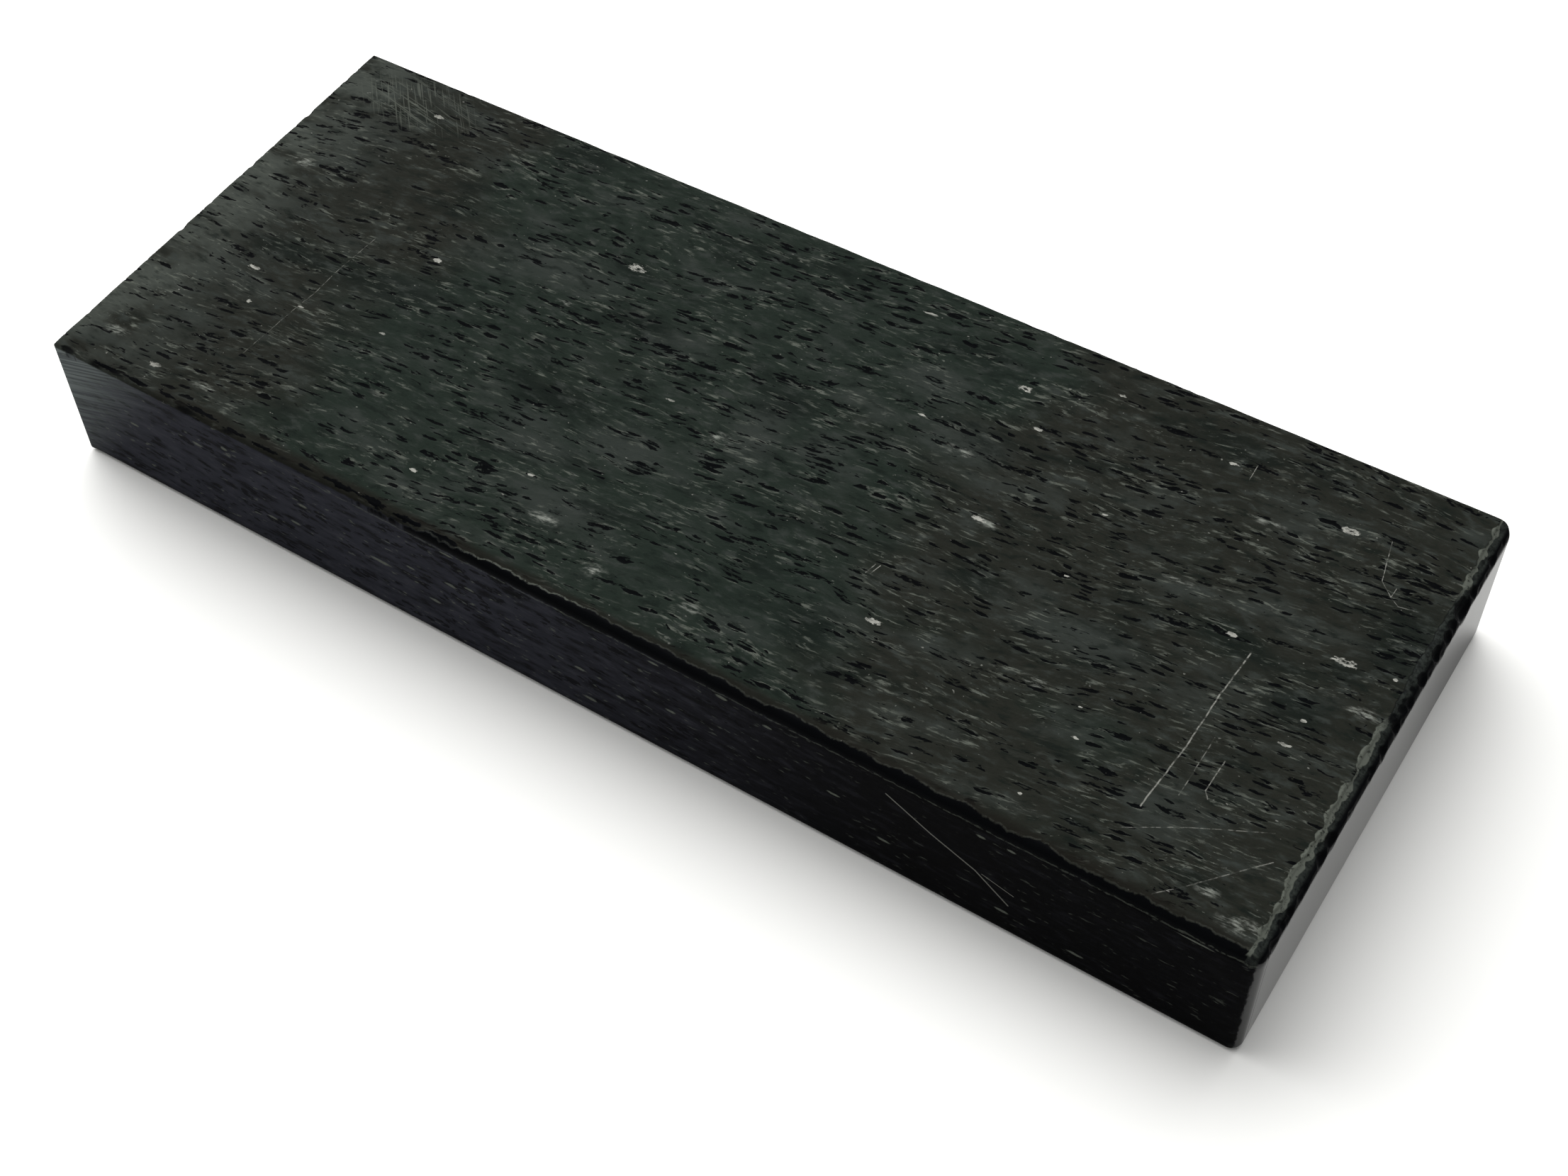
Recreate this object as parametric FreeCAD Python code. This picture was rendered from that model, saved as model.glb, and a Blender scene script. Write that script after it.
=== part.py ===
import FreeCAD, Part

import math
import os

# Granite slab: one block of natural stone that leather is punched, skived and tooled on.
# Millimetres. X runs along the block, Y from the front face to the back one, +Z is up.
# The origin is the middle of the block's box, on the plane it rests on.

# Driving dimensions
LENGTH = 250.0          # over the whole block, along X
WIDTH_LEFT = 97.6       # front to back at the left end, which is the narrower one
WIDTH_RIGHT = 102.2     # front to back at the right end
HEIGHT = 30.0           # thickness of a 3 cm stone sheet
LEFT_SKEW = 1.0         # the left end's back corner lies this much further out than its front one
RIGHT_SKEW = 0.2        # the right end's back corner lies this much further in

# Worn and eased edges, as radii
NEAR_CORNER = 2.2       # upright edge between the front face and the right end
FAR_CORNER = 2.6        # upright edge between the back face and the right end
FRONT_ARRIS_LEFT = 0.8  # top front edge, where it starts at the left end
FRONT_ARRIS_RIGHT = 2.2 # the same edge, where it meets the right end
RIGHT_ARRIS = 2.6       # top edge of the right end, the most worn one
SAWN_ARRIS = 0.6        # top edges of the left end and of the back face
FOOT_ARRIS = 1.4        # bottom edges of the front face and the right end
FOOT_SAWN = 0.5         # bottom edges of the left end and of the back face

# Shell-shaped chips along the top edges: distance from the front face, width, depth
RIGHT_CHIPS = (
    (10.0, 4.5, 0.9),
    (24.5, 6.5, 1.3),
    (36.0, 5.0, 0.7),
    (45.5, 4.0, 0.9),
    (52.0, 5.0, 1.0),
    (62.5, 4.0, 0.7),
    (80.0, 7.0, 1.4),
    (93.0, 5.0, 0.8),
)
LEFT_CHIPS = (
    (37.0, 5.0, 0.6),
    (58.0, 4.0, 0.5),
    (76.0, 4.5, 0.5),
)

OVERRUN = 5.0           # how far an edge cutter runs past the block's ends
CLEAR = 1.0             # how far it stands out of the block's faces

FRONT_Y = -WIDTH_RIGHT / 2
FRONT_LEFT = FreeCAD.Vector(-LENGTH / 2 + LEFT_SKEW, FRONT_Y, 0)
FRONT_RIGHT = FreeCAD.Vector(LENGTH / 2, FRONT_Y, 0)
BACK_RIGHT = FreeCAD.Vector(LENGTH / 2 - RIGHT_SKEW, FRONT_Y + WIDTH_RIGHT, 0)
BACK_LEFT = FreeCAD.Vector(-LENGTH / 2, FRONT_Y + WIDTH_LEFT, 0)
UP = FreeCAD.Vector(0, 0, 1)


def sawn_block():
    """The block as it leaves the saw: a slightly tapered plan, drawn up to its thickness."""
    outline = [FRONT_LEFT, FRONT_RIGHT, BACK_RIGHT, BACK_LEFT, FRONT_LEFT]
    return Part.Face(Part.makePolygon(outline)).extrude(UP * HEIGHT)


def round_right_corners(block):
    """Rounds the two upright edges of the right end."""
    for foot, radius in ((FRONT_RIGHT, NEAR_CORNER), (BACK_RIGHT, FAR_CORNER)):
        upright = [
            edge for edge in block.Edges
            if all((v.Point - foot).cross(UP).Length < 1e-6 for v in edge.Vertexes)
        ]
        block = block.makeFillet(radius, upright)
    return block


def corner_section(corner, inward, vertical, radius):
    """What lies outside a quarter round of this radius, at a right-angled corner."""
    on_level = corner + inward * radius
    on_side = corner + vertical * radius
    centre = on_level + vertical * radius
    middle = centre - (inward + vertical) * (radius / math.sqrt(2))
    outside = [
        on_side,
        on_side - inward * CLEAR,
        corner - (inward + vertical) * CLEAR,
        on_level - vertical * CLEAR,
        on_level,
    ]
    lines = [Part.LineSegment(a, b).toShape() for a, b in zip(outside, outside[1:])]
    return Part.Wire([Part.Arc(on_level, middle, on_side).toShape()] + lines)


def edge_cutter(start, end, radius_start, radius_end, top=True):
    """A cutter that rounds the straight edge above start and end, with a radius that may grow."""
    run = (end - start).normalize()
    inward = UP.cross(run)
    level = UP * (HEIGHT if top else 0)
    vertical = UP * (-1 if top else 1)
    growth = (radius_end - radius_start) / (end - start).Length
    ends = (
        (start - run * OVERRUN, radius_start - growth * OVERRUN),
        (end + run * OVERRUN, radius_end + growth * OVERRUN),
    )
    sections = [corner_section(point + level, inward, vertical, radius) for point, radius in ends]
    return Part.makeLoft(sections, True, True)


def ease_edges(block):
    """Rounds the eight long and short edges around the top and the bottom."""
    edges = (
        (FRONT_LEFT, FRONT_RIGHT, FRONT_ARRIS_LEFT, FRONT_ARRIS_RIGHT, FOOT_ARRIS),
        (FRONT_RIGHT, BACK_RIGHT, RIGHT_ARRIS, RIGHT_ARRIS, FOOT_ARRIS),
        (BACK_RIGHT, BACK_LEFT, SAWN_ARRIS, SAWN_ARRIS, FOOT_SAWN),
        (BACK_LEFT, FRONT_LEFT, SAWN_ARRIS, SAWN_ARRIS, FOOT_SAWN),
    )
    for start, end, radius_start, radius_end, foot in edges:
        block = block.cut(edge_cutter(start, end, radius_start, radius_end))
        block = block.cut(edge_cutter(start, end, foot, foot, top=False))
    return block


def chip(start, end, arris, distance, width, depth):
    """A ball that scoops one chip out of the rounded top edge from start to end."""
    run = (end - start).normalize()
    inward = UP.cross(run)
    outward = (UP - inward).normalize()
    ball_radius = (width ** 2 / 4 + depth ** 2) / (2 * depth)
    to_surface = arris * (math.sqrt(2) - 1)
    corner = start + run * distance + UP * HEIGHT
    surface = corner - outward * to_surface
    return Part.makeSphere(ball_radius, surface + outward * (ball_radius - depth))


def break_off_chips(block):
    """Takes the chips out of the right end's top edge and the left end's."""
    for chip_size in RIGHT_CHIPS:
        block = block.cut(chip(FRONT_RIGHT, BACK_RIGHT, RIGHT_ARRIS, *chip_size))
    for distance, width, depth in LEFT_CHIPS:
        from_back = WIDTH_LEFT - distance
        block = block.cut(chip(BACK_LEFT, FRONT_LEFT, SAWN_ARRIS, from_back, width, depth))
    return block


def granite_slab():
    slab = break_off_chips(ease_edges(round_right_corners(sawn_block())))
    return slab.Solids[0]


os.makedirs("parts", exist_ok=True)
slab = granite_slab()
print("solid valid:", slab.isValid(), "volume cm3:", round(slab.Volume / 1000, 1))
print(slab.optimalBoundingBox(True, False))
slab.exportStep("parts/granite_slab.step")
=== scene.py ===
import math

import bpy
import numpy as np
from mathutils import Matrix, Vector
from mathutils.geometry import delaunay_2d_cdt


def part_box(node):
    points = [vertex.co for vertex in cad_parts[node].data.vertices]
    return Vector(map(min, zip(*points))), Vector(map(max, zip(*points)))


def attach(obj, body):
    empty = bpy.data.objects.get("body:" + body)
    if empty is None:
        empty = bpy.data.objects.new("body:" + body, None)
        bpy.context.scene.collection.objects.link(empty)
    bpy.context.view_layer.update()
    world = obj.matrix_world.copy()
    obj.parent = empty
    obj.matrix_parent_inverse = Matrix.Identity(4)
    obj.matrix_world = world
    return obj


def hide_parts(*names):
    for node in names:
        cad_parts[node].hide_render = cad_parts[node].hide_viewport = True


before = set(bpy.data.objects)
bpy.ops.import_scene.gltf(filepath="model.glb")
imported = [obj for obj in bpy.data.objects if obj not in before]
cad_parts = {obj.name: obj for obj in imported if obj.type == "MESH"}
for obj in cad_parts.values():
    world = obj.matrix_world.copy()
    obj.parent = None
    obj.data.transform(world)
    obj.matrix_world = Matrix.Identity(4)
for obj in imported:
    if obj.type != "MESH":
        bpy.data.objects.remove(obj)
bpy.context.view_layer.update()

# The slab is worked out in millimetres, in the CAD frame: X along it, Y from front to back, Z up.
MM = 0.001
SEED = 11

# ---------------------------------------------------------------- the block, from the frame

NODE = "granite_slab"
low, high = (np.array(corner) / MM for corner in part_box(NODE))
cad_points = np.array([v.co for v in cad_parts[NODE].data.vertices]) / MM
END_ZONE = 3.0
left_end = cad_points[cad_points[:, 0] < low[0] + END_ZONE]
LEFT_BACK_Y = left_end[:, 1].max()
LEFT_FRONT_X = left_end[left_end[:, 1] < low[1] + END_ZONE, 0].min()
HEIGHT = high[2]

FRONT_LEFT = np.array([LEFT_FRONT_X, low[1]])
FRONT_RIGHT = np.array([high[0], low[1]])
BACK_RIGHT = np.array([high[0], high[1]])
BACK_LEFT = np.array([low[0], LEFT_BACK_Y])

# Radii of the worn and eased edges
NEAR_CORNER = 2.2
FAR_CORNER = 2.6
SAWN_CORNER = 0.35
FRONT_ARRIS = (0.8, 2.2)     # at the left end and at the right end
RIGHT_ARRIS = 2.4
SAWN_ARRIS = 0.5
FOOT_ARRIS = 1.5
FOOT_SAWN = 0.5
TURN_DOWN = 0.75             # how far the top sinks towards the front edge, at the right end
TURN_DOWN_REACH = 6.5
LEDGE_DROP = 0.34            # the step down to the worn strip beside the right edge
LEDGE_SLOPE = 0.30
# How far in from the front edge its wear reaches: between two places along it, from this to that
FRONT_WEAR = (50.0, 118.0, -0.45, 1.35)
RIGHT_WEAR = 2.55            # how far in the worn strip beside the right edge reaches
# From the front on, the ledge there ends over the first stretch and starts again over the second
LEDGE_ENDS = (54.0, 47.0)
LEDGE_RESUMES = (80.0, 87.0)
RELIEF = (0.10, 0.08, 0.13)  # how deep the top's swells, its leathering and its flakes go

# The stone's grain: its flakes lie along X, turned a little towards the back
LINEATION = math.radians(5.5)

# Everything below that has a place is measured from the front left corner: along the slab, then in.

# Shell-shaped chips: place along the edge from the front, width along the edge, depth
RIGHT_CHIPS = (
    (8.5, 1.8, 0.5), (11.2, 1.8, 0.5), (22.8, 2.6, 0.7), (26.5, 3.4, 0.9), (42.0, 2.0, 0.5),
    (46.5, 2.2, 0.6), (52.0, 2.6, 0.7), (57.5, 2.4, 0.5), (63.0, 3.0, 0.7), (69.0, 3.0, 0.8),
    (73.5, 2.6, 0.6), (80.0, 5.0, 1.1), (84.8, 2.4, 0.6), (93.0, 3.0, 0.5),
)
LEFT_CHIPS = ((37.0, 3.0, 0.35), (58.0, 2.4, 0.3), (76.0, 3.2, 0.35))
RIGHT_TILT = 38              # how far the hollows of the chips face up from level, in degrees
SAWN_TILT = 45
FRONT_BEND = 1.2             # the radius of the front edge that its small chips are set on
# Small chips strewn along each top edge: how many, between which places, how wide, how deep as a
# share of the width, and how far they face up
STREWN_RIGHT = (54, (2, 100), (0.8, 2.6), (0.10, 0.22), (15, 70))
STREWN_LEFT = (20, (2, LEFT_BACK_Y - low[1] - 2), (0.5, 1.6), 0.12, SAWN_TILT)
STREWN_FRONT = (30, (3, 245), (0.9, 4.0), (0.05, 0.11), (40, 80))
STREWN_BACK = (14, (3, 245), (0.5, 1.6), 0.10, SAWN_TILT)

# White grains: place, length and width. The ringed ones are dark in the middle.
WHITE_GRAINS = (
    (23.0, 89.0, 2.8, 0.9), (48.3, 55.6, 2.0, 1.1), (19.0, 35.7, 2.4, 0.9), (24.2, 28.0, 1.1, 0.8),
    (20.2, 6.0, 2.6, 1.0), (33.8, 32.0, 1.3, 0.6), (51.5, 34.6, 1.5, 0.5), (77.4, 10.8, 1.5, 0.8),
    (136.5, 93.0, 3.6, 0.6), (176.8, 93.2, 2.0, 0.7), (201.2, 89.0, 2.0, 0.8), (167.8, 78.0, 2.0, 0.8),
    (164.8, 25.0, 2.6, 1.1), (205.2, 22.0, 1.5, 0.7), (202.7, 7.7, 1.0, 0.7), (202.9, 27.8, 1.0, 0.4),
    (168.8, 54.0, 2.8, 1.1), (217.6, 54.5, 2.0, 0.8), (234.6, 38.6, 2.2, 0.6), (235.2, 44.5, 1.0, 0.8),
    (244.6, 60.0, 1.1, 0.7), (187.3, 66.5, 1.4, 0.6), (247.4, 98.0, 1.0, 0.7), (246.8, 87.5, 0.9, 0.7),
    (188.0, 51.0, 1.0, 0.5), (107.0, 49.0, 1.6, 0.6), (148.0, 70.0, 1.4, 0.5), (96.0, 21.0, 1.3, 0.6),
)
RINGED_GRAINS = (
    (82.5, 74.0, 3.2, 1.9), (225.1, 85.6, 3.4, 1.4), (236.0, 59.0, 4.2, 1.5), (160.9, 85.5, 2.6, 1.2),
)
# Bruises and bunches of pale grains, which are softer: place, length and width
PALE_SPOTS = (
    (194.2, 28.5, 6.5, 2.2), (236.0, 7.4, 4.5, 2.4), (120.0, 46.0, 5.0, 3.0), (76.0, 59.0, 4.0, 2.5),
    (104.0, 14.0, 7.0, 2.6), (118.0, 9.0, 6.0, 3.0), (137.0, 11.0, 5.0, 2.0), (212.0, 80.0, 7.0, 2.0),
    (243.0, 51.0, 6.0, 2.5), (158.0, 66.0, 6.0, 2.6), (243.5, 4.5, 8.0, 4.0), (32.0, 6.5, 6.0, 2.0),
    (171.0, 54.0, 5.0, 2.2), (8.0, 64.0, 5.0, 4.0), (8.0, 9.0, 6.0, 2.6), (205.0, 60.0, 6.0, 1.4),
)
# Black pits along the left part of the front edge: place, length and width
EDGE_PITS = (
    (12.5, 0.9, 6.5, 0.8), (20.0, 1.1, 6.0, 0.9), (27.0, 1.4, 4.5, 1.0), (35.5, 1.5, 8.0, 1.1),
    (44.0, 1.0, 5.0, 0.8), (52.0, 0.9, 7.0, 0.8), (60.0, 1.2, 4.0, 0.7), (68.5, 1.2, 7.0, 1.2),
    (76.0, 1.2, 6.5, 1.6), (84.0, 1.1, 7.0, 1.1), (92.0, 1.1, 9.0, 1.2),
)
# The scuffed back left corner: place, length and width
SCUFFED_CORNER = ((17.0, 90.0, 34.0, 18.0),)
# Broad veils in the stone, lighter and darker: place, length and width
LIGHT_VEILS = (
    (68.0, 66.0, 34.0, 13.0), (107.0, 35.0, 22.0, 12.0), (104.0, 17.0, 26.0, 12.0),
    (125.0, 50.0, 12.0, 26.0), (92.0, 27.0, 22.0, 9.0), (158.0, 68.0, 22.0, 12.0),
    (146.0, 78.0, 18.0, 11.0), (196.0, 40.0, 30.0, 10.0),
)
DARK_VEILS = (
    (45.0, 45.0, 40.0, 10.0), (88.0, 38.0, 26.0, 9.0), (175.0, 42.0, 16.0, 8.0),
    (156.0, 18.0, 14.0, 12.0), (243.0, 68.0, 16.0, 24.0), (233.0, 46.0, 16.0, 12.0),
    (20.0, 42.0, 18.0, 8.0), (92.0, 62.0, 22.0, 9.0),
)
# Scratches on the top, each with its width
BOLD_SCRATCHES = (
    (0.25, ((222.0, 52.5), (221.3, 41.8), (221.2, 29.9), (220.1, 15.9))),
    (0.20, ((227.8, 30.6), (227.6, 23.9), (228.6, 22.6))),
    (0.14, ((232.3, 87.1), (234.3, 78.2), (237.0, 75.7), (237.1, 77.9))),
    (0.17, ((158.8, 35.8), (158.3, 33.4))),
    (0.17, ((159.7, 36.0), (159.1, 33.6))),
    (0.14, ((205.0, 91.0), (205.2, 87.0))),
)
FAINT_SCRATCHES = (
    (0.18, ((224.4, 33.9), (224.4, 20.9))),
    (0.16, ((34.2, 54.0), (33.5, 43.0), (33.6, 36.0), (33.0, 30.0), (32.3, 17.0))),
    (0.16, ((237.0, 75.7), (238.8, 74.5), (242.2, 75.2))),
    (0.18, ((219.1, 10.5), (229.0, 16.5), (240.5, 22.4))),
    (0.20, ((229.0, 2.5), (232.6, 6.0), (242.5, 17.4))),
)
# Scratches on the front face: along it, then up
FRONT_SCRATCHES = (
    (0.30, ((182.5, 23.5), (191.2, 18.5), (199.7, 14.5), (206.2, 9.0))),
    (0.18, ((201.0, 14.4), (207.0, 12.6))),
)
# Pale flecks on the front face: along it, up, length and width
FRONT_FLECKS = (
    (16.5, 16.8, 2.4, 0.8), (33.5, 21.2, 2.6, 0.9), (40.7, 24.2, 1.8, 1.0), (58.0, 18.8, 2.6, 0.9),
    (49.0, 9.8, 2.4, 0.8), (55.0, 12.0, 2.4, 0.9), (75.5, 14.0, 5.6, 1.0), (92.0, 18.0, 3.0, 0.9),
    (96.5, 19.8, 2.4, 0.8), (83.0, 17.0, 2.2, 0.7), (92.5, 27.0, 3.2, 0.6), (87.5, 10.5, 2.8, 0.9),
    (120.0, 13.0, 3.0, 0.8), (121.5, 5.0, 3.2, 1.0), (136.5, 26.5, 2.6, 0.7), (150.4, 26.8, 2.6, 1.0),
    (159.4, 25.0, 2.0, 0.8), (200.2, 25.2, 2.0, 0.8), (205.7, 25.5, 2.0, 0.7), (172.3, 15.2, 3.0, 0.7),
    (182.3, 9.0, 2.8, 0.8), (205.2, 6.5, 3.0, 0.8), (139.4, 14.5, 2.2, 0.8), (128.5, 10.5, 2.4, 0.8),
    (219.1, 5.0, 3.4, 0.8), (238.0, 26.8, 7.0, 0.5),
)


# ---------------------------------------------------------------- node writing

SEED_STEP = (7.31, 3.17, 5.23)   # how far apart the patterns of two seeds lie


class Graph:
    """Writes nodes into a shader tree or a geometry tree. Each method gives back an output."""

    def __init__(self, tree):
        self.tree = tree

    def put(self, socket, value):
        if isinstance(value, bpy.types.NodeSocket):
            self.tree.links.new(value, socket)
        else:
            socket.default_value = value

    def node(self, kind, inputs, output=0, **settings):
        node = self.tree.nodes.new(kind)
        for name, value in settings.items():
            setattr(node, name, value)
        for key, value in inputs.items():
            self.put(node.inputs[key], value)
        return node.outputs[output]

    def math(self, operation, a, b=0.0, clamp=False):
        return self.node("ShaderNodeMath", {0: a, 1: b}, operation=operation, use_clamp=clamp)

    def add(self, a, b):
        return self.math("ADD", a, b)

    def sub(self, a, b):
        return self.math("SUBTRACT", a, b)

    def mul(self, a, b):
        return self.math("MULTIPLY", a, b)

    def either(self, a, b):
        return self.math("MAXIMUM", a, b)

    def nearer(self, a, b):
        return self.math("MINIMUM", a, b)

    def opposite(self, share):
        return self.sub(1.0, share)

    def vector(self, operation, a, b=(0.0, 0.0, 0.0)):
        return self.node("ShaderNodeVectorMath", {0: a, 1: b}, operation=operation)

    def measure(self, operation, a, b=(0.0, 0.0, 0.0)):
        """A vector operation that gives a number: LENGTH, DISTANCE or DOT_PRODUCT."""
        return self.node("ShaderNodeVectorMath", {0: a, 1: b}, output=1, operation=operation)

    def split(self, vector):
        node = self.tree.nodes.new("ShaderNodeSeparateXYZ")
        self.put(node.inputs[0], vector)
        return node.outputs[0], node.outputs[1], node.outputs[2]

    def join(self, x=0.0, y=0.0, z=0.0):
        return self.node("ShaderNodeCombineXYZ", {0: x, 1: y, 2: z})

    def turn(self, at, angle):
        return self.node("ShaderNodeVectorRotate", {"Vector": at, "Angle": angle}, rotation_type="Z_AXIS")

    def ramp(self, value, start, end, low=0.0, high=1.0):
        """low up to start, high from end on, with a smooth step between. start may be the larger."""
        return self.node(
            "ShaderNodeMapRange", {0: value, 1: start, 2: end, 3: low, 4: high},
            interpolation_type="SMOOTHSTEP",
        )

    def noise(self, at, size, detail=2.0, rough=0.5, seed=0.0):
        """Noise from about 0 to 1 with features of this size in millimetres, one size or three."""
        scale = (1 / size,) * 3 if isinstance(size, (int, float)) else tuple(1 / s for s in size)
        spot = self.vector("MULTIPLY", at, scale)
        spot = self.vector("ADD", spot, tuple(seed * step for step in SEED_STEP))
        return self.node(
            "ShaderNodeTexNoise", {"Vector": spot, "Scale": 1.0, "Detail": detail, "Roughness": rough}
        )

    def wobble(self, at, size, reach, detail=2.0, seed=0.0):
        """Noise around 0 that goes about half of reach each way."""
        return self.mul(self.sub(self.noise(at, size, detail=detail, seed=seed), 0.5), reach)

    def cells(self, at, size, seed=0.0):
        """Voronoi cells: the distance to the nearest one's middle, and three chances for it."""
        spot = self.vector("DIVIDE", at, size)
        spot = self.vector("ADD", spot, tuple(seed * step for step in SEED_STEP))
        node = self.tree.nodes.new("ShaderNodeTexVoronoi")
        self.put(node.inputs["Vector"], spot)
        node.inputs["Scale"].default_value = 1.0
        return node.outputs["Distance"], self.split(node.outputs["Color"])

    def blend(self, share, first, second):
        node = self.tree.nodes.new("ShaderNodeMix")
        node.data_type = "RGBA"
        self.put(node.inputs["Factor"], share)
        for socket, colour in (("A", first), ("B", second)):
            self.put(node.inputs[socket], (*colour, 1.0) if isinstance(colour, tuple) else colour)
        return node.outputs["Result"]

    def blend_value(self, share, first, second):
        return self.add(first, self.mul(share, self.sub(second, first)))


# ---------------------------------------------------------------- the stone's pattern

def along_the_grain(g, at):
    """Turns and gently bends the position so that the first axis runs along the flakes."""
    turned = g.turn(at, -LINEATION)
    sway = g.wobble(at, (55.0, 30.0, 30.0), 9.0, detail=1.0, seed=2.0)
    ripple = g.wobble(turned, (7.0, 2.6, 2.6), 1.3, detail=1.0, seed=3.0)
    shift = g.add(sway, ripple)
    return g.vector("ADD", turned, g.join(0.0, shift, g.mul(shift, 0.4)))


# Flakes: the size of the cells that hold one each, the share that does, its radius and its seed
SHORT_FLAKES = ((4.6, 0.92, 1.3), 0.32, 0.39, 5.0)
LONG_FLAKES = ((9.0, 1.2, 1.8), 0.28, 0.40, 9.0)
FLAKE_RIM = (0.03, -0.04)


def flake_layer(g, grain, size, kept, radius, seed):
    """How far off the nearest ragged, lens-shaped flake is, less than 0 in it: kept is about the
    share of cells that hold one."""
    rough = g.wobble(grain, (1.5, 0.34, 0.5), 0.75, detail=3.0, seed=seed)
    distance, chance = g.cells(grain, size, seed)
    crowd = g.noise(grain, (15.0, 4.8, 4.8), detail=2.0, seed=seed + 1.0)
    exists = g.math("LESS_THAN", chance[0], g.mul(g.ramp(crowd, 0.40, 0.60), kept * 2.2))
    reach = g.mul(g.blend_value(chance[1], radius * 0.5, radius * 1.2), exists)
    return g.sub(g.add(distance, rough), reach)


def flakes(g, grain):
    """The dark flakes, many short ones and fewer long ones that are broken up, as a mask. Then a
    mask of what surrounds the short ones."""
    short = flake_layer(g, grain, *SHORT_FLAKES)
    long = flake_layer(g, grain, *LONG_FLAKES)
    whole = g.ramp(g.noise(grain, (1.5, 0.5, 0.6), seed=12.0), 0.40, 0.50)
    dark = g.either(g.ramp(short, *FLAKE_RIM), g.mul(g.ramp(long, *FLAKE_RIM), whole))
    return dark, g.mul(g.ramp(short, 0.34, 0.08), g.opposite(dark))


class Edges:
    """Where the worn edges of the top end: their reach in from the front and from the right side."""

    def __init__(self, g, at):
        x, y, _ = g.split(at)
        self.along = g.sub(x, float(FRONT_LEFT[0]))
        self.from_front = g.sub(y, float(FRONT_LEFT[1]))
        self.from_right = g.sub(float(FRONT_RIGHT[0]), x)
        by_x, by_y = g.join(x), g.join(0.0, y)
        front = g.ramp(self.along, *FRONT_WEAR)
        front = g.add(front, g.wobble(by_x, 8.0, 2.5, seed=40.0))
        self.front = g.add(front, g.wobble(by_x, 1.5, 1.1, seed=41.0))
        right = g.add(g.wobble(by_y, 6.0, 2.0, seed=42.0), RIGHT_WEAR)
        self.right = g.add(right, g.wobble(by_y, 1.9, 0.8, seed=43.0))
        near_part = g.ramp(self.from_front, *LEDGE_ENDS)
        far_part = g.ramp(self.from_front, *LEDGE_RESUMES)
        self.ledge = g.either(near_part, far_part)
        border = (-0.22, 0.12)
        self.brushed = g.mul(g.ramp(g.sub(self.from_front, self.front), *border),
                             g.ramp(g.sub(self.from_right, self.right), *border))


# ---------------------------------------------------------------- the slab's shape

def spaced(length, finest, widest, growth, hold):
    """Cuts a length into shares: hold fine steps at both ends, which grow to widest between them."""
    steps, step = [finest] * hold, finest
    while step < widest:
        steps.append(step)
        step *= growth
    middle = length - 2 * sum(steps)
    count = max(1, round(middle / widest))
    steps = steps + [middle / count] * count + steps[::-1]
    return np.concatenate([[0.0], np.cumsum(steps)]) / length


def plan(u, v):
    """A point of the block's plan from two shares: u along its length, v from front to back."""
    u, v = np.asarray(u)[..., None], np.asarray(v)[..., None]
    front = FRONT_LEFT + (FRONT_RIGHT - FRONT_LEFT) * u
    back = BACK_LEFT + (BACK_RIGHT - BACK_LEFT) * u
    return front + (back - front) * v


# The lattice: its finest and widest step, how fast they grow, and how many stay fine
STEPS_ALONG = (0.26, 1.35, 1.22, 10)
STEPS_ACROSS = (0.24, 0.37, 1.12, 6)
STEPS_UP = (0.26, 2.1, 1.4, 5)
UNDER_INSETS = (0.35, 0.8, 1.5, 2.6)   # rings on the underside, from its border inwards
UNDER_GRID = (48, 18)


def rim_of(nu, nv):
    """The border of a grid as pairs of numbers, all the way round from its first point."""
    loop = [(i, 0) for i in range(nu - 1)]
    loop += [(nu - 1, j) for j in range(nv - 1)]
    loop += [(i, nv - 1) for i in range(nu - 1, 0, -1)]
    return loop + [(0, j) for j in range(nv - 1, 0, -1)]


def rings_below(rim_u, rim_v, levels):
    """The walls' rings of points from the top one down, and then the underside's first ones."""
    rings = [np.column_stack([plan(rim_u, rim_v), np.full(len(rim_u), z)]) for z in levels]
    for inset in UNDER_INSETS:
        u = 0.5 + (rim_u - 0.5) * (1 - 2 * inset / (high[0] - low[0]))
        v = 0.5 + (rim_v - 0.5) * (1 - 2 * inset / (high[1] - low[1]))
        rings.append(np.column_stack([plan(u, v), np.zeros(len(u))]))
    return rings


def underside(border, first, inner_first):
    """The underside's inner points, and the triangles that join them to its border. The border's
    points are numbered from first on, and the inner ones from inner_first on."""
    across = np.meshgrid(np.linspace(0.03, 0.97, UNDER_GRID[0]), np.linspace(0.06, 0.94, UNDER_GRID[1]))
    inner = plan(*across).reshape(-1, 2)
    flat = [Vector(point) for point in np.vstack([border, inner])]
    count = len(border)
    found, _, triangles, _, _, _ = delaunay_2d_cdt(flat, [], [list(range(count))], 1, 1e-6)
    assert len(found) == len(flat)
    numbers = np.concatenate([np.arange(first, first + count),
                              np.arange(inner_first, inner_first + len(inner))])
    faces = [[numbers[c], numbers[b], numbers[a]] for a, b, c in triangles]
    return np.column_stack([inner, np.zeros(len(inner))]), faces


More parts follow.
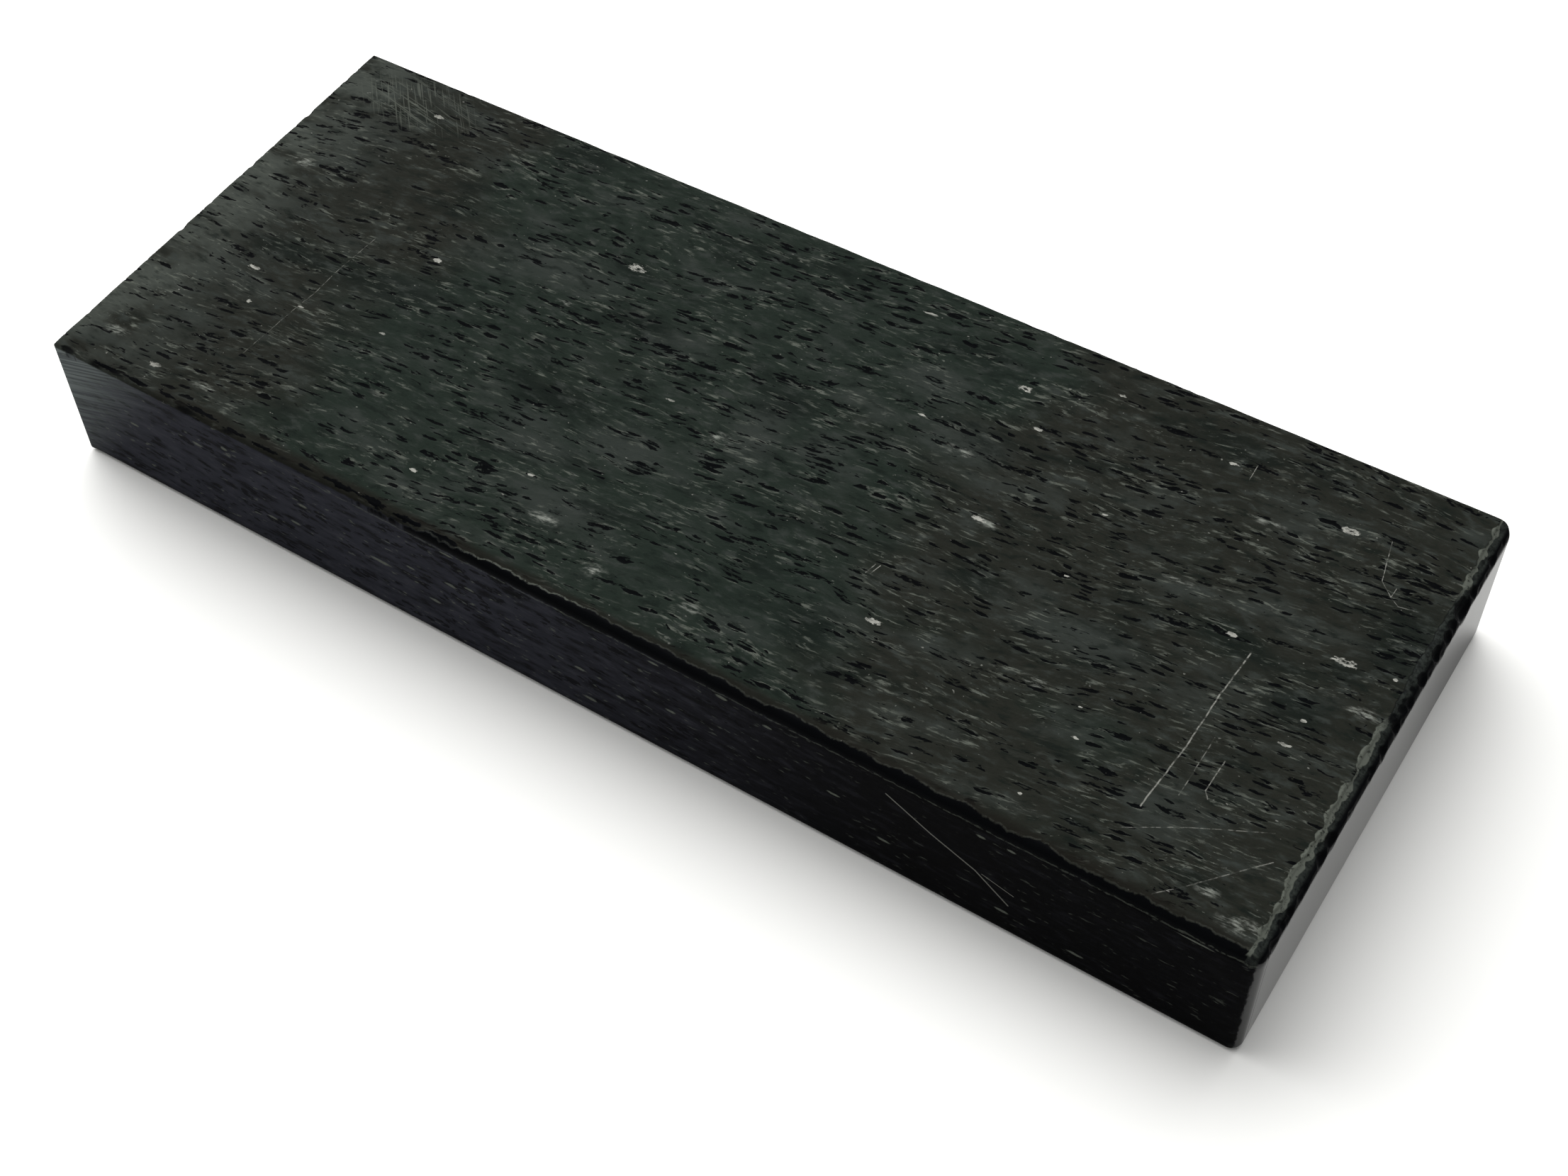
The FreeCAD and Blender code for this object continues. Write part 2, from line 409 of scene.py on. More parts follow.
def lattice():
    """The sharp block's points and faces: a fine top, walls in rings, and a coarser underside."""
    us = spaced(high[0] - low[0], *STEPS_ALONG)
    vs = spaced(high[1] - low[1], *STEPS_ACROSS)
    levels = spaced(HEIGHT, *STEPS_UP)[::-1] * HEIGHT
    nu, nv = len(us), len(vs)
    grid_u, grid_v = np.meshgrid(us, vs, indexing="ij")
    top = np.dstack([plan(grid_u, grid_v), np.full((nu, nv), HEIGHT)]).reshape(-1, 3)
    index = np.arange(nu * nv).reshape(nu, nv)
    cells = np.stack([index[:-1, :-1], index[1:, :-1], index[1:, 1:], index[:-1, 1:]], -1)
    faces = cells.reshape(-1, 4).tolist()

    loop = rim_of(nu, nv)
    rim_u = np.array([us[i] for i, j in loop])
    rim_v = np.array([vs[j] for i, j in loop])
    below = rings_below(rim_u, rim_v, levels[1:])
    count, total = len(loop), len(top)
    rings = [np.array([index[i, j] for i, j in loop])]
    rings += [total + count * k + np.arange(count) for k in range(len(below))]
    for upper, lower in zip(rings, rings[1:]):
        for m in range(count):
            n = (m + 1) % count
            faces.append([upper[n], upper[m], lower[m], lower[n]])
    inner, triangles = underside(below[-1][:, :2], rings[-1][0], total + count * len(below))
    return np.vstack([top, *below, inner]), faces + triangles


def fields(points):
    """Reads the stone's pattern and some plain noise at each point, through geometry nodes."""
    mesh = bpy.data.meshes.new("samples")
    mesh.from_pydata((points * MM).tolist(), [], [])
    sampler = bpy.data.objects.new("samples", mesh)
    bpy.context.scene.collection.objects.link(sampler)
    tree = bpy.data.node_groups.new("fields", "GeometryNodeTree")
    for way in ("INPUT", "OUTPUT"):
        tree.interface.new_socket("Geometry", in_out=way, socket_type="NodeSocketGeometry")
    g = Graph(tree)
    at = g.vector("MULTIPLY", g.node("GeometryNodeInputPosition", {}), (1 / MM,) * 3)
    grain = along_the_grain(g, at)
    edges = Edges(g, at)
    wanted = {
        "flake": flakes(g, grain)[0],
        "brushed": edges.brushed,
        "right": edges.right,
        "ledge": edges.ledge,
        "swell": g.noise(grain, (16.0, 9.0, 9.0), detail=1.0, seed=20.0),
        "leather": g.noise(grain, (5.0, 2.2, 2.2), detail=2.0, seed=21.0),
        "ragged": g.noise(at, 4.5, detail=3.0, seed=22.0),
        "broken": g.noise(at, 1.4, detail=2.0, seed=23.0),
    }
    geometry = tree.nodes.new("NodeGroupInput").outputs[0]
    for name, value in wanted.items():
        geometry = g.node(
            "GeometryNodeStoreNamedAttribute", {"Geometry": geometry, "Name": name, "Value": value}
        )
    g.put(tree.nodes.new("NodeGroupOutput").inputs[0], geometry)
    sampler.modifiers.new("fields", "NODES").node_group = tree
    result = sampler.evaluated_get(bpy.context.evaluated_depsgraph_get()).data
    read = {}
    for name in wanted:
        read[name] = np.zeros(len(points), np.float32)
        result.attributes[name].data.foreach_get("value", read[name])
    bpy.data.objects.remove(sampler)
    bpy.data.node_groups.remove(tree)
    return read


EDGE_REACH = 6.0         # no chip reaches further in from the walls, or down from the top
CHIP_ROUGHNESS = 0.3
CHIP_SKIN = 0.1          # within this of a chip's ball, a point counts as lying in the chip
BLEND_REACH = 0.8        # over which one wall's edge radius passes into the next one's


def round_max(a, b, radius):
    """The common part of two half-spaces, by their distances, with the edge between them rounded."""
    corner = np.hypot(np.maximum(a + radius, 0), np.maximum(b + radius, 0))
    return np.minimum(np.maximum(a, b), -radius) + corner


def wall_distance(points, start, end):
    """How far points lie outside the upright wall from start to end, which has the block on its left."""
    run = (end - start) / np.linalg.norm(end - start)
    return (points[:, :2] - start) @ np.array([run[1], -run[0]])


def chip_balls(start, end, radius, chips):
    """Balls that scoop chips out of a rounded top edge: distance along it, width, depth, tilt."""
    run = np.append((end - start) / np.linalg.norm(end - start), 0)
    outward = np.array([run[1], -run[0], 0])
    balls = []
    for distance, width, depth, tilt in chips:
        ball = (width ** 2 / 4 + depth ** 2) / (2 * depth)
        way = outward * math.cos(tilt) + np.array([0, 0, 1]) * math.sin(tilt)
        corner = np.append(start, HEIGHT) + run * distance
        bent = corner - (outward + np.array([0, 0, 1])) * radius
        surface = bent + way * radius
        balls.append((surface + way * (ball - depth), ball))
    return balls


def drawn(rng, value):
    """A number drawn from a range, or the value itself where it isn't one."""
    return rng.uniform(*value) if isinstance(value, tuple) else value


def strewn(rng, count, places, widths, depths, tilts):
    """Small chips at random, each as chip_balls wants it."""
    chips = []
    for _ in range(count):
        width = drawn(rng, widths)
        place = drawn(rng, places)
        depth = width * drawn(rng, depths)
        chips.append((place, width, depth, math.radians(drawn(rng, tilts))))
    return chips


def all_chips():
    """The chips of each edge in turn: the named ones, and then the small ones between them."""
    rng = np.random.default_rng(SEED)
    right = [(place, width, depth, math.radians(RIGHT_TILT)) for place, width, depth in RIGHT_CHIPS]
    balls = chip_balls(FRONT_RIGHT, BACK_RIGHT, RIGHT_ARRIS, right + strewn(rng, *STREWN_RIGHT))
    # The left edge runs from the back to the front
    left_depth = LEFT_BACK_Y - low[1]
    left = [(left_depth - place, width, depth, math.radians(SAWN_TILT))
            for place, width, depth in LEFT_CHIPS]
    balls += chip_balls(BACK_LEFT, FRONT_LEFT, SAWN_ARRIS, left + strewn(rng, *STREWN_LEFT))
    balls += chip_balls(FRONT_LEFT, FRONT_RIGHT, FRONT_BEND, strewn(rng, *STREWN_FRONT))
    return balls + chip_balls(BACK_RIGHT, BACK_LEFT, SAWN_ARRIS, strewn(rng, *STREWN_BACK))


BALLS = all_chips()


def four_walls(points):
    """How far points lie outside the front, right, back and left walls, one row each."""
    corners = (FRONT_LEFT, FRONT_RIGHT, BACK_RIGHT, BACK_LEFT)
    return np.stack([wall_distance(points, start, end)
                     for start, end in zip(corners, corners[1:] + corners[:1])])


def chip_shell(points, walls, field):
    """How deep points lie inside the balls that scoop out the chips."""
    shell = np.full(len(points), -1.0)
    edge = (walls > -EDGE_REACH) & (points[:, 2] > HEIGHT - EDGE_REACH)
    some, noise = points[edge], CHIP_ROUGHNESS * (field["broken"][edge] - 0.5)
    nearest = shell[edge]
    for centre, ball in BALLS:
        nearest = np.maximum(nearest, ball - np.linalg.norm(some - centre, axis=1) + noise)
    shell[edge] = nearest
    return shell


def top_relief(front, along, field):
    """How far the top lies below its flat height, less than 0: the leathering and the turn-down."""
    swell, leather, flake = RELIEF
    relief = swell * (field["swell"] - 0.75) + leather * (field["leather"] - 0.75)
    relief = relief - flake * field["flake"]
    relief = field["brushed"] * np.minimum(relief - 0.05, 0)
    return relief - TURN_DOWN * along * np.clip(1 + front / TURN_DOWN_REACH, 0, 1) ** 2


def outside(points, field):
    """Signed distance from the finished surface, more than 0 outside it, and from the chips' shells."""
    front, right, back, left = four_walls(points)
    walls = np.maximum.reduce([
        round_max(front, right, NEAR_CORNER),
        round_max(back, right, FAR_CORNER),
        round_max(front, left, SAWN_CORNER),
        round_max(back, left, SAWN_CORNER),
    ])
    along = (points[:, 0] - low[0]) / (high[0] - low[0])
    ragged = field["ragged"] - 0.5
    front_arris = (FRONT_ARRIS[0] + (FRONT_ARRIS[1] - FRONT_ARRIS[0]) * along) * (1 + 0.9 * ragged)
    right_arris = RIGHT_ARRIS * (1 + 0.5 * ragged)
    sawn_arris = SAWN_ARRIS * (1 + ragged)
    # Each point's edge radii are those of the walls that it is near
    near = np.exp(np.stack([front, right, back, left]) / BLEND_REACH)
    arris = (near * np.stack([front_arris, right_arris, sawn_arris, sawn_arris])).sum(0) / near.sum(0)
    feet = np.array([FOOT_ARRIS, FOOT_ARRIS, FOOT_SAWN, FOOT_SAWN])[:, None]
    foot = (near * feet).sum(0) / near.sum(0)
    body = np.maximum(
        round_max(walls, points[:, 2] - HEIGHT - top_relief(front, along, field), arris),
        round_max(walls, -points[:, 2], foot),
    )
    # The ledge beside the worn right edge: a small drop, then a slope down to the side. Where there
    # is no ledge it is pushed out of the way.
    inside_rim = field["right"] + right
    drop = points[:, 2] - HEIGHT + LEDGE_DROP + LEDGE_SLOPE * inside_rim
    ledge = np.minimum(inside_rim, drop) - 3.0 * (1 - field["ledge"])
    chips = chip_shell(points, walls, field)
    return np.maximum(np.maximum(body, ledge), chips), chips


def settle(points, field):
    """Moves each point of the sharp block in to the finished surface. Gives the points and what
    share of each one lies in a chip."""
    reach, head_start, halvings = 3.6, 0.4, 20
    heart = np.clip(points, low + reach, high - reach)
    first = points + (points - heart) * (head_start / reach)
    start, end = np.zeros(len(points)), np.ones(len(points))
    for _ in range(halvings):
        share = (start + end) / 2
        out = outside(first + (heart - first) * share[:, None], field)[0] > 0
        start = np.where(out, share, start)
        end = np.where(out, end, share)
    settled = first + (heart - first) * end[:, None]
    chips = outside(settled, field)[1]
    return settled, np.clip(1 + chips / CHIP_SKIN, 0, 1)


def slab_mesh():
    points, faces = lattice()
    settled, chipped = settle(points, fields(points))
    mesh = bpy.data.meshes.new("stone_slab")
    mesh.from_pydata((settled * MM).tolist(), [], faces)
    mesh.polygons.foreach_set("use_smooth", [True] * len(mesh.polygons))
    layer = mesh.attributes.new("chipped", "FLOAT", "POINT")
    layer.data.foreach_set("value", chipped.astype(np.float32))
    mesh.update()
    return mesh


# ---------------------------------------------------------------- marks at known places

FAR_OFF = 9.0            # more than any mark reaches


def on_grain(x, y):
    """A place on the top, from the front left corner, turned as along_the_grain turns it."""
    along, across = FRONT_LEFT + (x, y)
    return (along * math.cos(LINEATION) + across * math.sin(LINEATION),
            across * math.cos(LINEATION) - along * math.sin(LINEATION), 0.0)


def on_face(x, y):
    """A place on a face that isn't turned to the grain."""
    return x, y, 0.0


def nearest_spot(g, at, spots, place):
    """How far off the nearest oval is: 0 at its middle and 1 at its rim. A spot is its place, its
    length and its width, and place gives what at is there."""
    nearest = FAR_OFF
    for x, y, length, width in spots:
        apart = g.vector("SUBTRACT", at, place(x, y))
        distance = g.measure("LENGTH", g.vector("MULTIPLY", apart, (2 / length, 2 / width, 0.0)))
        nearest = g.nearer(nearest, distance)
    return nearest


def nearest_scratch(g, at, scratches):
    """How far off the nearest scratch is, in its own widths."""
    nearest = FAR_OFF
    for width, bends in scratches:
        for start, end in zip(bends, bends[1:]):
            run = Vector(end) - Vector(start)
            way = (*run.normalized(), 0.0)
            apart = g.vector("SUBTRACT", at, (*start, 0.0))
            along = g.measure("DOT_PRODUCT", apart, way)
            along = g.node("ShaderNodeClamp", {"Value": along, "Min": 0.0, "Max": run.length})
            foot = g.vector("MULTIPLY", g.join(along, along, 0.0), way)
            nearest = g.nearer(nearest, g.mul(g.measure("DISTANCE", apart, foot), 1 / width))
    return nearest


def hatching(g, at, angle, length, width, seed):
    """Fine parallel scratches, as a mask."""
    turned = g.turn(at, math.radians(-angle))
    return g.ramp(g.noise(turned, (length, width, length), detail=1.0, seed=seed), 0.58, 0.68)


# ---------------------------------------------------------------- the stone's finish

GREEN = (0.0110, 0.0158, 0.0124)
BROWN = (0.0122, 0.0130, 0.0104)
VEIL = (0.0240, 0.0280, 0.0250)
SHADE = (0.0050, 0.0072, 0.0060)
UMBER_SHADE = (0.0085, 0.0080, 0.0064)
RIM = (0.0780, 0.0850, 0.0720)
FLAKE = (0.0010, 0.0012, 0.0016)
BRUISE = (0.1700, 0.1800, 0.1600)
WHITE = (0.3000, 0.3000, 0.2700)
BLACK = (0.0022, 0.0024, 0.0028)
SIDE = (0.0064, 0.0068, 0.0092)
SIDE_VEIL = (0.0250, 0.0260, 0.0330)
SAWN = (0.0340, 0.0370, 0.0370)
HAZE = (0.1150, 0.1330, 0.1300)
POLISHED = (0.0060, 0.0066, 0.0066)
STONE_IOR = 1.045
COAT_IOR = 1.42
COAT_ROUGHNESS = 0.06
SIDE_ROUGHNESS = 0.34
SAWN_ROUGHNESS = 0.7
POLISHED_ROUGHNESS = 0.12
BRUSHED_ROUGHNESS = (0.42, 0.62)
BUMP_DEPTH = 0.12
BUMP_STRENGTH = 0.7
# The front face fades from lighter at its left part to darker at its right part over this stretch, partly
# its own tone and partly painted shade
FADE = (85.0, 190.0)
# Depths below the top's height between which one finish gives way to another
BRUSHED_TO = (1.15, 0.75)
BAND_TO = (2.3, 1.7)
POLISH_FROM = (1.7, 2.1)
OUTER_TO = (2.4, 1.9)
WORN_TO = (3.0, 1.8)
BAND_WIDTH = (3.0, 2.4)
UNDER_BAND = 2.35        # the depth of the pale line under the front edge's black band
SIDE_WIDTH = (1.15, 0.75)
SAWN_SKIN = (0.22, 0.12)
GROOVE = 2.9             # a fine upright line on the right end, this far from the front
# How much polish the right end has near the front, and how much near the back
POLISH = (0.50, 0.13)
BOLD_AT = 109.0          # where along the front edge its pale line is strongest


def broken_border(g, grain):
    """What makes the outlines of the veils and of the front strip ragged."""
    return g.wobble(grain, (6.0, 1.6, 1.6), 0.9, detail=3.0, seed=50.0)


def brushed_colour(g, at, grain, edges, dark, beside):
    """The leathered top: green stone and brown stone, veils, streaks, pale rims beside the flakes that
    are painted highlights on their edges, and a painted sheen towards its left end.
    """
    turned = g.turn(at, -LINEATION)
    broken = broken_border(g, grain)

    to_ends = g.either(g.ramp(edges.along, 75.0, 25.0), g.ramp(edges.along, 133.0, 193.0))
    brownness = g.add(g.wobble(at, (34.0, 20.0, 20.0), 2.0, detail=4.0, seed=30.0), to_ends)
    base = g.blend(g.ramp(brownness, 0.25, 0.8), GREEN, BROWN)

    lit = g.add(nearest_spot(g, turned, LIGHT_VEILS, on_grain), g.mul(broken, 0.8))
    veil = g.ramp(lit, 1.25, 0.2)
    clouds = g.noise(grain, (20.0, 8.0, 8.0), detail=4.0, seed=31.0)
    base = g.blend(g.either(g.mul(veil, 0.75), g.mul(g.ramp(clouds, 0.5, 0.75), 0.8)), base, VEIL)
    base = g.blend(g.mul(g.ramp(clouds, 0.46, 0.3), 0.7), base, SHADE)
    shady = g.add(nearest_spot(g, turned, DARK_VEILS, on_grain), g.mul(broken, 0.8))
    shade = g.ramp(shady, 1.2, 0.2)
    base = g.blend(g.mul(shade, 0.75), base, SHADE)

    # Painted sheen: pale patches on the top towards its left end
    sheen_patches = g.ramp(g.noise(grain, (9.0, 5.0, 5.0), detail=3.0, seed=37.0), 0.3, 0.6)
    base = g.blend(g.mul(g.ramp(edges.along, 30.0, 2.0), sheen_patches), base, VEIL)
    base = g.blend(g.mul(g.ramp(edges.along, 18.0, 2.0, 0.0, 0.3), sheen_patches), base, RIM)

    mottle = g.noise(grain, (4.6, 1.7, 1.7), detail=4.0, rough=0.6, seed=32.0)
    base = g.blend(g.mul(g.ramp(mottle, 0.50, 0.72), 0.85), base, VEIL)
    base = g.blend(g.mul(g.ramp(mottle, 0.48, 0.30), 0.7), base, SHADE)

    patchy = g.ramp(g.noise(grain, (8.0, 2.8, 2.8), detail=3.0, seed=34.0), 0.42, 0.64, 0.04, 1.0)
    wisp = g.noise(grain, (3.6, 0.62, 0.8), detail=4.0, rough=0.6, seed=33.0)
    streak = g.ramp(wisp, 0.54, 0.72)
    fleck = g.mul(g.ramp(g.noise(grain, (1.1, 0.5, 0.5), detail=2.0, seed=36.0), 0.66, 0.78), 0.8)
    # Painted highlight: pale rims on the edges of the short flakes
    rim = g.mul(beside, g.ramp(wisp, 0.47, 0.62, 0.0, 0.8))
    base = g.blend(g.mul(g.either(g.either(streak, fleck), rim), patchy), base, RIM)
    return g.blend(g.mul(dark, 0.97), base, FLAKE)


def front_strip(g, at, grain, edges, base):
    """A painted shade in umber on the strip of the top beside its front edge, where the top turns down,
    with black pits at the left.
    """
    broken = broken_border(g, grain)
    # Painted shade: the top darkens to umber where it turns down to the front edge, more so towards the
    # right
    dimming = g.ramp(edges.along, 6.0, 60.0, 0.15, 0.85)
    turning_shade = g.ramp(g.add(edges.from_front, g.mul(broken, 1.6)), 3.6, 1.8)
    base = g.blend(g.mul(turning_shade, dimming), base, UMBER_SHADE)
    flat = g.join(edges.along, edges.from_front, 0.0)
    torn = g.wobble(at, (1.6, 0.6, 0.6), 2.6, detail=3.0, seed=38.0)
    pit = g.ramp(g.add(nearest_spot(g, flat, EDGE_PITS, on_face), torn), 1.0, 0.8)
    return g.blend(pit, base, FLAKE)


def top_marks(g, at, grain, base):
    """White grains, bruises, specks and scratches of the top."""
    turned = g.turn(at, -LINEATION)
    ragged = g.wobble(grain, (1.1, 0.5, 0.5), 1.1, detail=2.0, seed=60.0)
    patchy = g.noise(grain, (2.2, 0.7, 0.7), detail=3.0, rough=0.6, seed=61.0)

    bruise = g.add(nearest_spot(g, turned, PALE_SPOTS, on_grain), g.mul(ragged, 0.7))
    bruise = g.ramp(bruise, 1.2, 0.3)
    base = g.blend(g.mul(bruise, g.ramp(patchy, 0.42, 0.75)), base, BRUISE)

    speck = g.ramp(g.noise(grain, (1.0, 0.7, 0.7), detail=1.0, seed=62.0), 0.76, 0.84)
    base = g.blend(g.mul(speck, 0.35), base, WHITE)

    torn = g.wobble(grain, (0.8, 0.4, 0.4), 2.2, detail=3.0, seed=67.0)
    grains = g.ramp(g.add(nearest_spot(g, turned, WHITE_GRAINS, on_grain), torn), 1.05, 0.7)
    ring = g.add(nearest_spot(g, turned, RINGED_GRAINS, on_grain), torn)
    ring = g.mul(g.ramp(ring, 1.05, 0.7), g.ramp(ring, 0.1, 0.55))
    base = g.blend(g.mul(g.either(grains, ring), g.ramp(patchy, 0.3, 0.6, 0.3, 0.85)), base, WHITE)

    flat = g.vector("SUBTRACT", at, (*FRONT_LEFT, 0.0))
    flat = g.vector("MULTIPLY", flat, (1.0, 1.0, 0.0))
    flat = g.vector("ADD", flat, g.join(g.wobble(at, 3.0, 0.25, seed=63.0)))
    bold = g.ramp(nearest_scratch(g, flat, BOLD_SCRATCHES), 0.75, 0.2)
    faint = g.ramp(nearest_scratch(g, flat, FAINT_SCRATCHES), 0.75, 0.2)
    broken = g.noise(at, (1.4, 1.4, 1.4), detail=3.0, rough=0.6, seed=64.0)
    bold = g.mul(bold, g.ramp(broken, 0.40, 0.58, 0.08, 0.55))
    faint = g.mul(faint, g.ramp(broken, 0.42, 0.62, 0.02, 0.3))
    base = g.blend(g.either(bold, faint), base, WHITE)

    scuffed = g.ramp(nearest_spot(g, flat, SCUFFED_CORNER, on_face), 1.0, 0.45)
    lines = g.either(hatching(g, at, -48.0, 9.0, 0.34, 65.0), hatching(g, at, -12.0, 12.0, 0.34, 66.0))
    return g.blend(g.mul(g.mul(scuffed, lines), 0.55), base, RIM)


def side_colour(g, at, edges, dark):
    """The smooth front face: near black, with pale flecks, and hazy with saw marks at its left end. It
    darkens towards its right end, partly its own tone and partly painted shade, and a painted shade
    darkens its foot.
    """
    z = g.split(at)[2]
    flat = g.join(edges.along, z, 0.0)
    ragged = g.wobble(at, (1.3, 0.7, 0.7), 1.2, detail=2.0, seed=70.0)
    mottle = g.noise(g.turn(at, -LINEATION), (6.5, 3.0, 1.5), detail=4.0, rough=0.62, seed=71.0)

    # Partly painted shade: the face is lighter at its left part and darker at its right part
    fading_and_shade = g.ramp(edges.along, *FADE, 2.5, 0.1)
    base = g.vector("MULTIPLY", SIDE, g.join(fading_and_shade, fading_and_shade, fading_and_shade))
    lightness = g.ramp(edges.along, *FADE, 0.95, 0.16)
    base = g.blend(g.mul(g.ramp(mottle, 0.48, 0.72), lightness), base, SIDE_VEIL)
    base = g.blend(g.mul(g.ramp(mottle, 0.50, 0.32), 0.85), base, BLACK)
    # The flakes darken the face, and a painted shade darkens its foot, up to 2.4 mm above the bottom
    base = g.blend(g.either(g.mul(dark, 0.8), g.ramp(z, 2.4, 0.6)), base, FLAKE)

    fleck = g.add(nearest_spot(g, flat, FRONT_FLECKS, on_face), g.mul(ragged, 0.8))
    fleck = g.ramp(fleck, 1.1, 0.5)
    small = g.ramp(g.noise(flat, (2.3, 0.75, 1.0), detail=2.0, seed=72.0), 0.64, 0.76)
    small = g.mul(small, g.ramp(edges.along, *FADE, 0.8, 0.35))
    base = g.blend(g.mul(g.either(fleck, small), 0.85), base, RIM)

    scratch = g.ramp(nearest_scratch(g, flat, FRONT_SCRATCHES), 0.75, 0.25)
    base = g.blend(g.mul(scratch, 0.35), base, WHITE)

    down = g.mul(g.sub(HEIGHT, z), 0.9 / HEIGHT)
    hazy = g.ramp(g.add(g.mul(edges.along, 1 / 25), down), 1.2, 0.1)
    saw = g.noise(g.join(g.sub(z, g.mul(edges.along, 0.35)), g.mul(edges.along, 0.05), 0.0),
                  (0.42, 1.0, 1.0), detail=2.0, seed=73.0)
    hazy = g.mul(hazy, g.ramp(saw, 0.34, 0.66, 0.35, 0.9))
    return g.blend(hazy, base, HAZE)


def sawn_colour(g, at, dark, saw):
    """The left end, the back and the underside as the saw left them, greyer than the rest."""
    base = g.blend(g.ramp(g.noise(at, (18.0, 12.0, 9.0), detail=3.0, seed=80.0), 0.35, 0.7), SAWN, VEIL)
    base = g.blend(g.mul(g.ramp(saw, 0.5, 0.8), 0.35), base, HAZE)
    fine = g.noise(at, (1.6, 0.9, 0.6), detail=3.0, rough=0.65, seed=81.0)
    base = g.blend(g.mul(g.ramp(fine, 0.52, 0.25), 0.6), base, SHADE)
    return g.blend(g.mul(dark, 0.75), base, FLAKE)


def start_stone(name):
    """A new material, its shader, its node writer, and the place it is at in millimetres."""
    material = bpy.data.materials.new(name)
    material.use_nodes = True
    shader = material.node_tree.nodes["Principled BSDF"]
    shader.inputs["IOR"].default_value = STONE_IOR
    g = Graph(material.node_tree)
    place = g.node("ShaderNodeTexCoord", {}, output=3)
    return material, shader, g, g.vector("MULTIPLY", place, (1 / MM,) * 3)


def brushed_finish(g, grain):
    """The leathered top's roughness, and its height for the bump. The mesh has the flakes' relief."""
    fine = g.noise(grain, (1.2, 0.6, 0.6), detail=2.0, rough=0.6, seed=35.0)
    return g.ramp(fine, 0.25, 0.75, *BRUSHED_ROUGHNESS), g.mul(fine, 0.7)


def add_bump(g, shader, height):
    settings = {"Height": height, "Distance": BUMP_DEPTH * MM, "Strength": BUMP_STRENGTH}
    g.put(shader.inputs["Normal"], g.node("ShaderNodeBump", settings))


def open_top_material():
    """The top away from its edges."""
    material, shader, g, at = start_stone("leathered_top")
    grain = along_the_grain(g, at)
    dark, beside = flakes(g, grain)
    base = brushed_colour(g, at, grain, Edges(g, at), dark, beside)
    g.put(shader.inputs["Base Color"], top_marks(g, at, grain, base))
    roughness, height = brushed_finish(g, grain)
    g.put(shader.inputs["Roughness"], roughness)
    add_bump(g, shader, height)
    return material


def below_top(g, z, depths):
    """A ramp from 0 to 1 between two depths below the top's height."""
    return g.ramp(z, HEIGHT - depths[0], HEIGHT - depths[1])


class Zones:
    """Where each finish is, as masks."""

    def __init__(self, g, at, edges, fray):
        x, y, z = g.split(at)
        self.upper = below_top(g, g.add(z, g.mul(fray, 0.4)), BRUSHED_TO)
        self.brushed = g.mul(edges.brushed, self.upper)
        left_slant = float((FRONT_LEFT - BACK_LEFT)[0] / (BACK_LEFT - FRONT_LEFT)[1])
        from_left = g.add(edges.along, g.mul(edges.from_front, left_slant))
        back_slant = float((BACK_RIGHT - BACK_LEFT)[1] / (BACK_RIGHT - BACK_LEFT)[0])
        back_line = g.add(float(BACK_LEFT[1]), g.mul(g.sub(x, float(BACK_LEFT[0])), back_slant))
        from_back = g.sub(back_line, y)
        self.sawn = g.ramp(g.nearer(g.nearer(from_left, from_back), z), *SAWN_SKIN)
        self.frayed_z = g.add(z, fray)
        band = g.mul(g.ramp(edges.from_front, *BAND_WIDTH), below_top(g, self.frayed_z, BAND_TO))
        self.band = g.mul(band, g.ramp(edges.front, 0.0, 0.3))
        by_side = g.ramp(g.add(edges.from_right, fray), *SIDE_WIDTH)
        self.by_side = g.mul(by_side, below_top(g, z, POLISH_FROM))
        plain = g.mul(g.opposite(self.brushed), g.opposite(self.sawn))
        self.polished = g.mul(g.either(self.band, self.by_side), plain)


def worn_right(g, at, edges, zones, grit, base):
    """The worn right edge: black outside, grey inside, with a pale line along its ledge."""
    _, y, z = g.split(at)
    in_rim = g.sub(edges.from_right, edges.right)
    outer = g.mul(g.ramp(edges.from_right, 1.6, 1.1), below_top(g, z, OUTER_TO))
    base = g.blend(outer, base, BLACK)
    worn = g.mul(g.ramp(in_rim, 0.0, -0.3), g.ramp(edges.from_right, 0.7, 1.4))
    worn = g.mul(worn, g.mul(below_top(g, z, WORN_TO), g.opposite(zones.sawn)))
    base = g.blend(g.mul(worn, g.ramp(grit, 0.3, 0.7, 0.2, 0.9)), base, VEIL)
    stretch = g.noise(g.join(0.0, y, 0.0), 3.4, detail=2.0, seed=92.0)
    off = g.math("ABSOLUTE", g.add(in_rim, 0.15))
    line = g.ramp(g.sub(off, g.ramp(stretch, 0.35, 0.7, 0.0, 0.75)), 0.22, 0.0)
    line = g.mul(g.mul(line, edges.ledge), g.mul(zones.upper, g.ramp(grit, 0.28, 0.50)))
    return g.blend(g.mul(line, 0.95), base, RIM)


def front_lines(g, edges, zones, grit, base):
    """The pale lines above and below the front edge's black band."""
    bold = g.ramp(g.math("ABSOLUTE", g.sub(edges.along, BOLD_AT)), 16.0, 8.0, 0.25, 1.0)
    off = g.math("ABSOLUTE", g.sub(edges.from_front, g.add(edges.front, 0.08)))
    over = g.mul(g.ramp(off, 0.26, 0.08), g.ramp(edges.front, 0.2, 0.6))
    over = g.mul(over, g.mul(bold, zones.upper))
    under = g.ramp(g.math("ABSOLUTE", g.sub(zones.frayed_z, HEIGHT - UNDER_BAND)), 0.24, 0.08)
    at_front = g.ramp(edges.from_front, 0.9, 0.5)
    under = g.mul(under, g.mul(at_front, g.ramp(edges.along, 40.0, 75.0, 0.0, 0.5)))
    lines = g.mul(g.either(over, under), g.ramp(grit, 0.34, 0.54))
    return g.blend(g.mul(lines, 0.7), base, RIM)


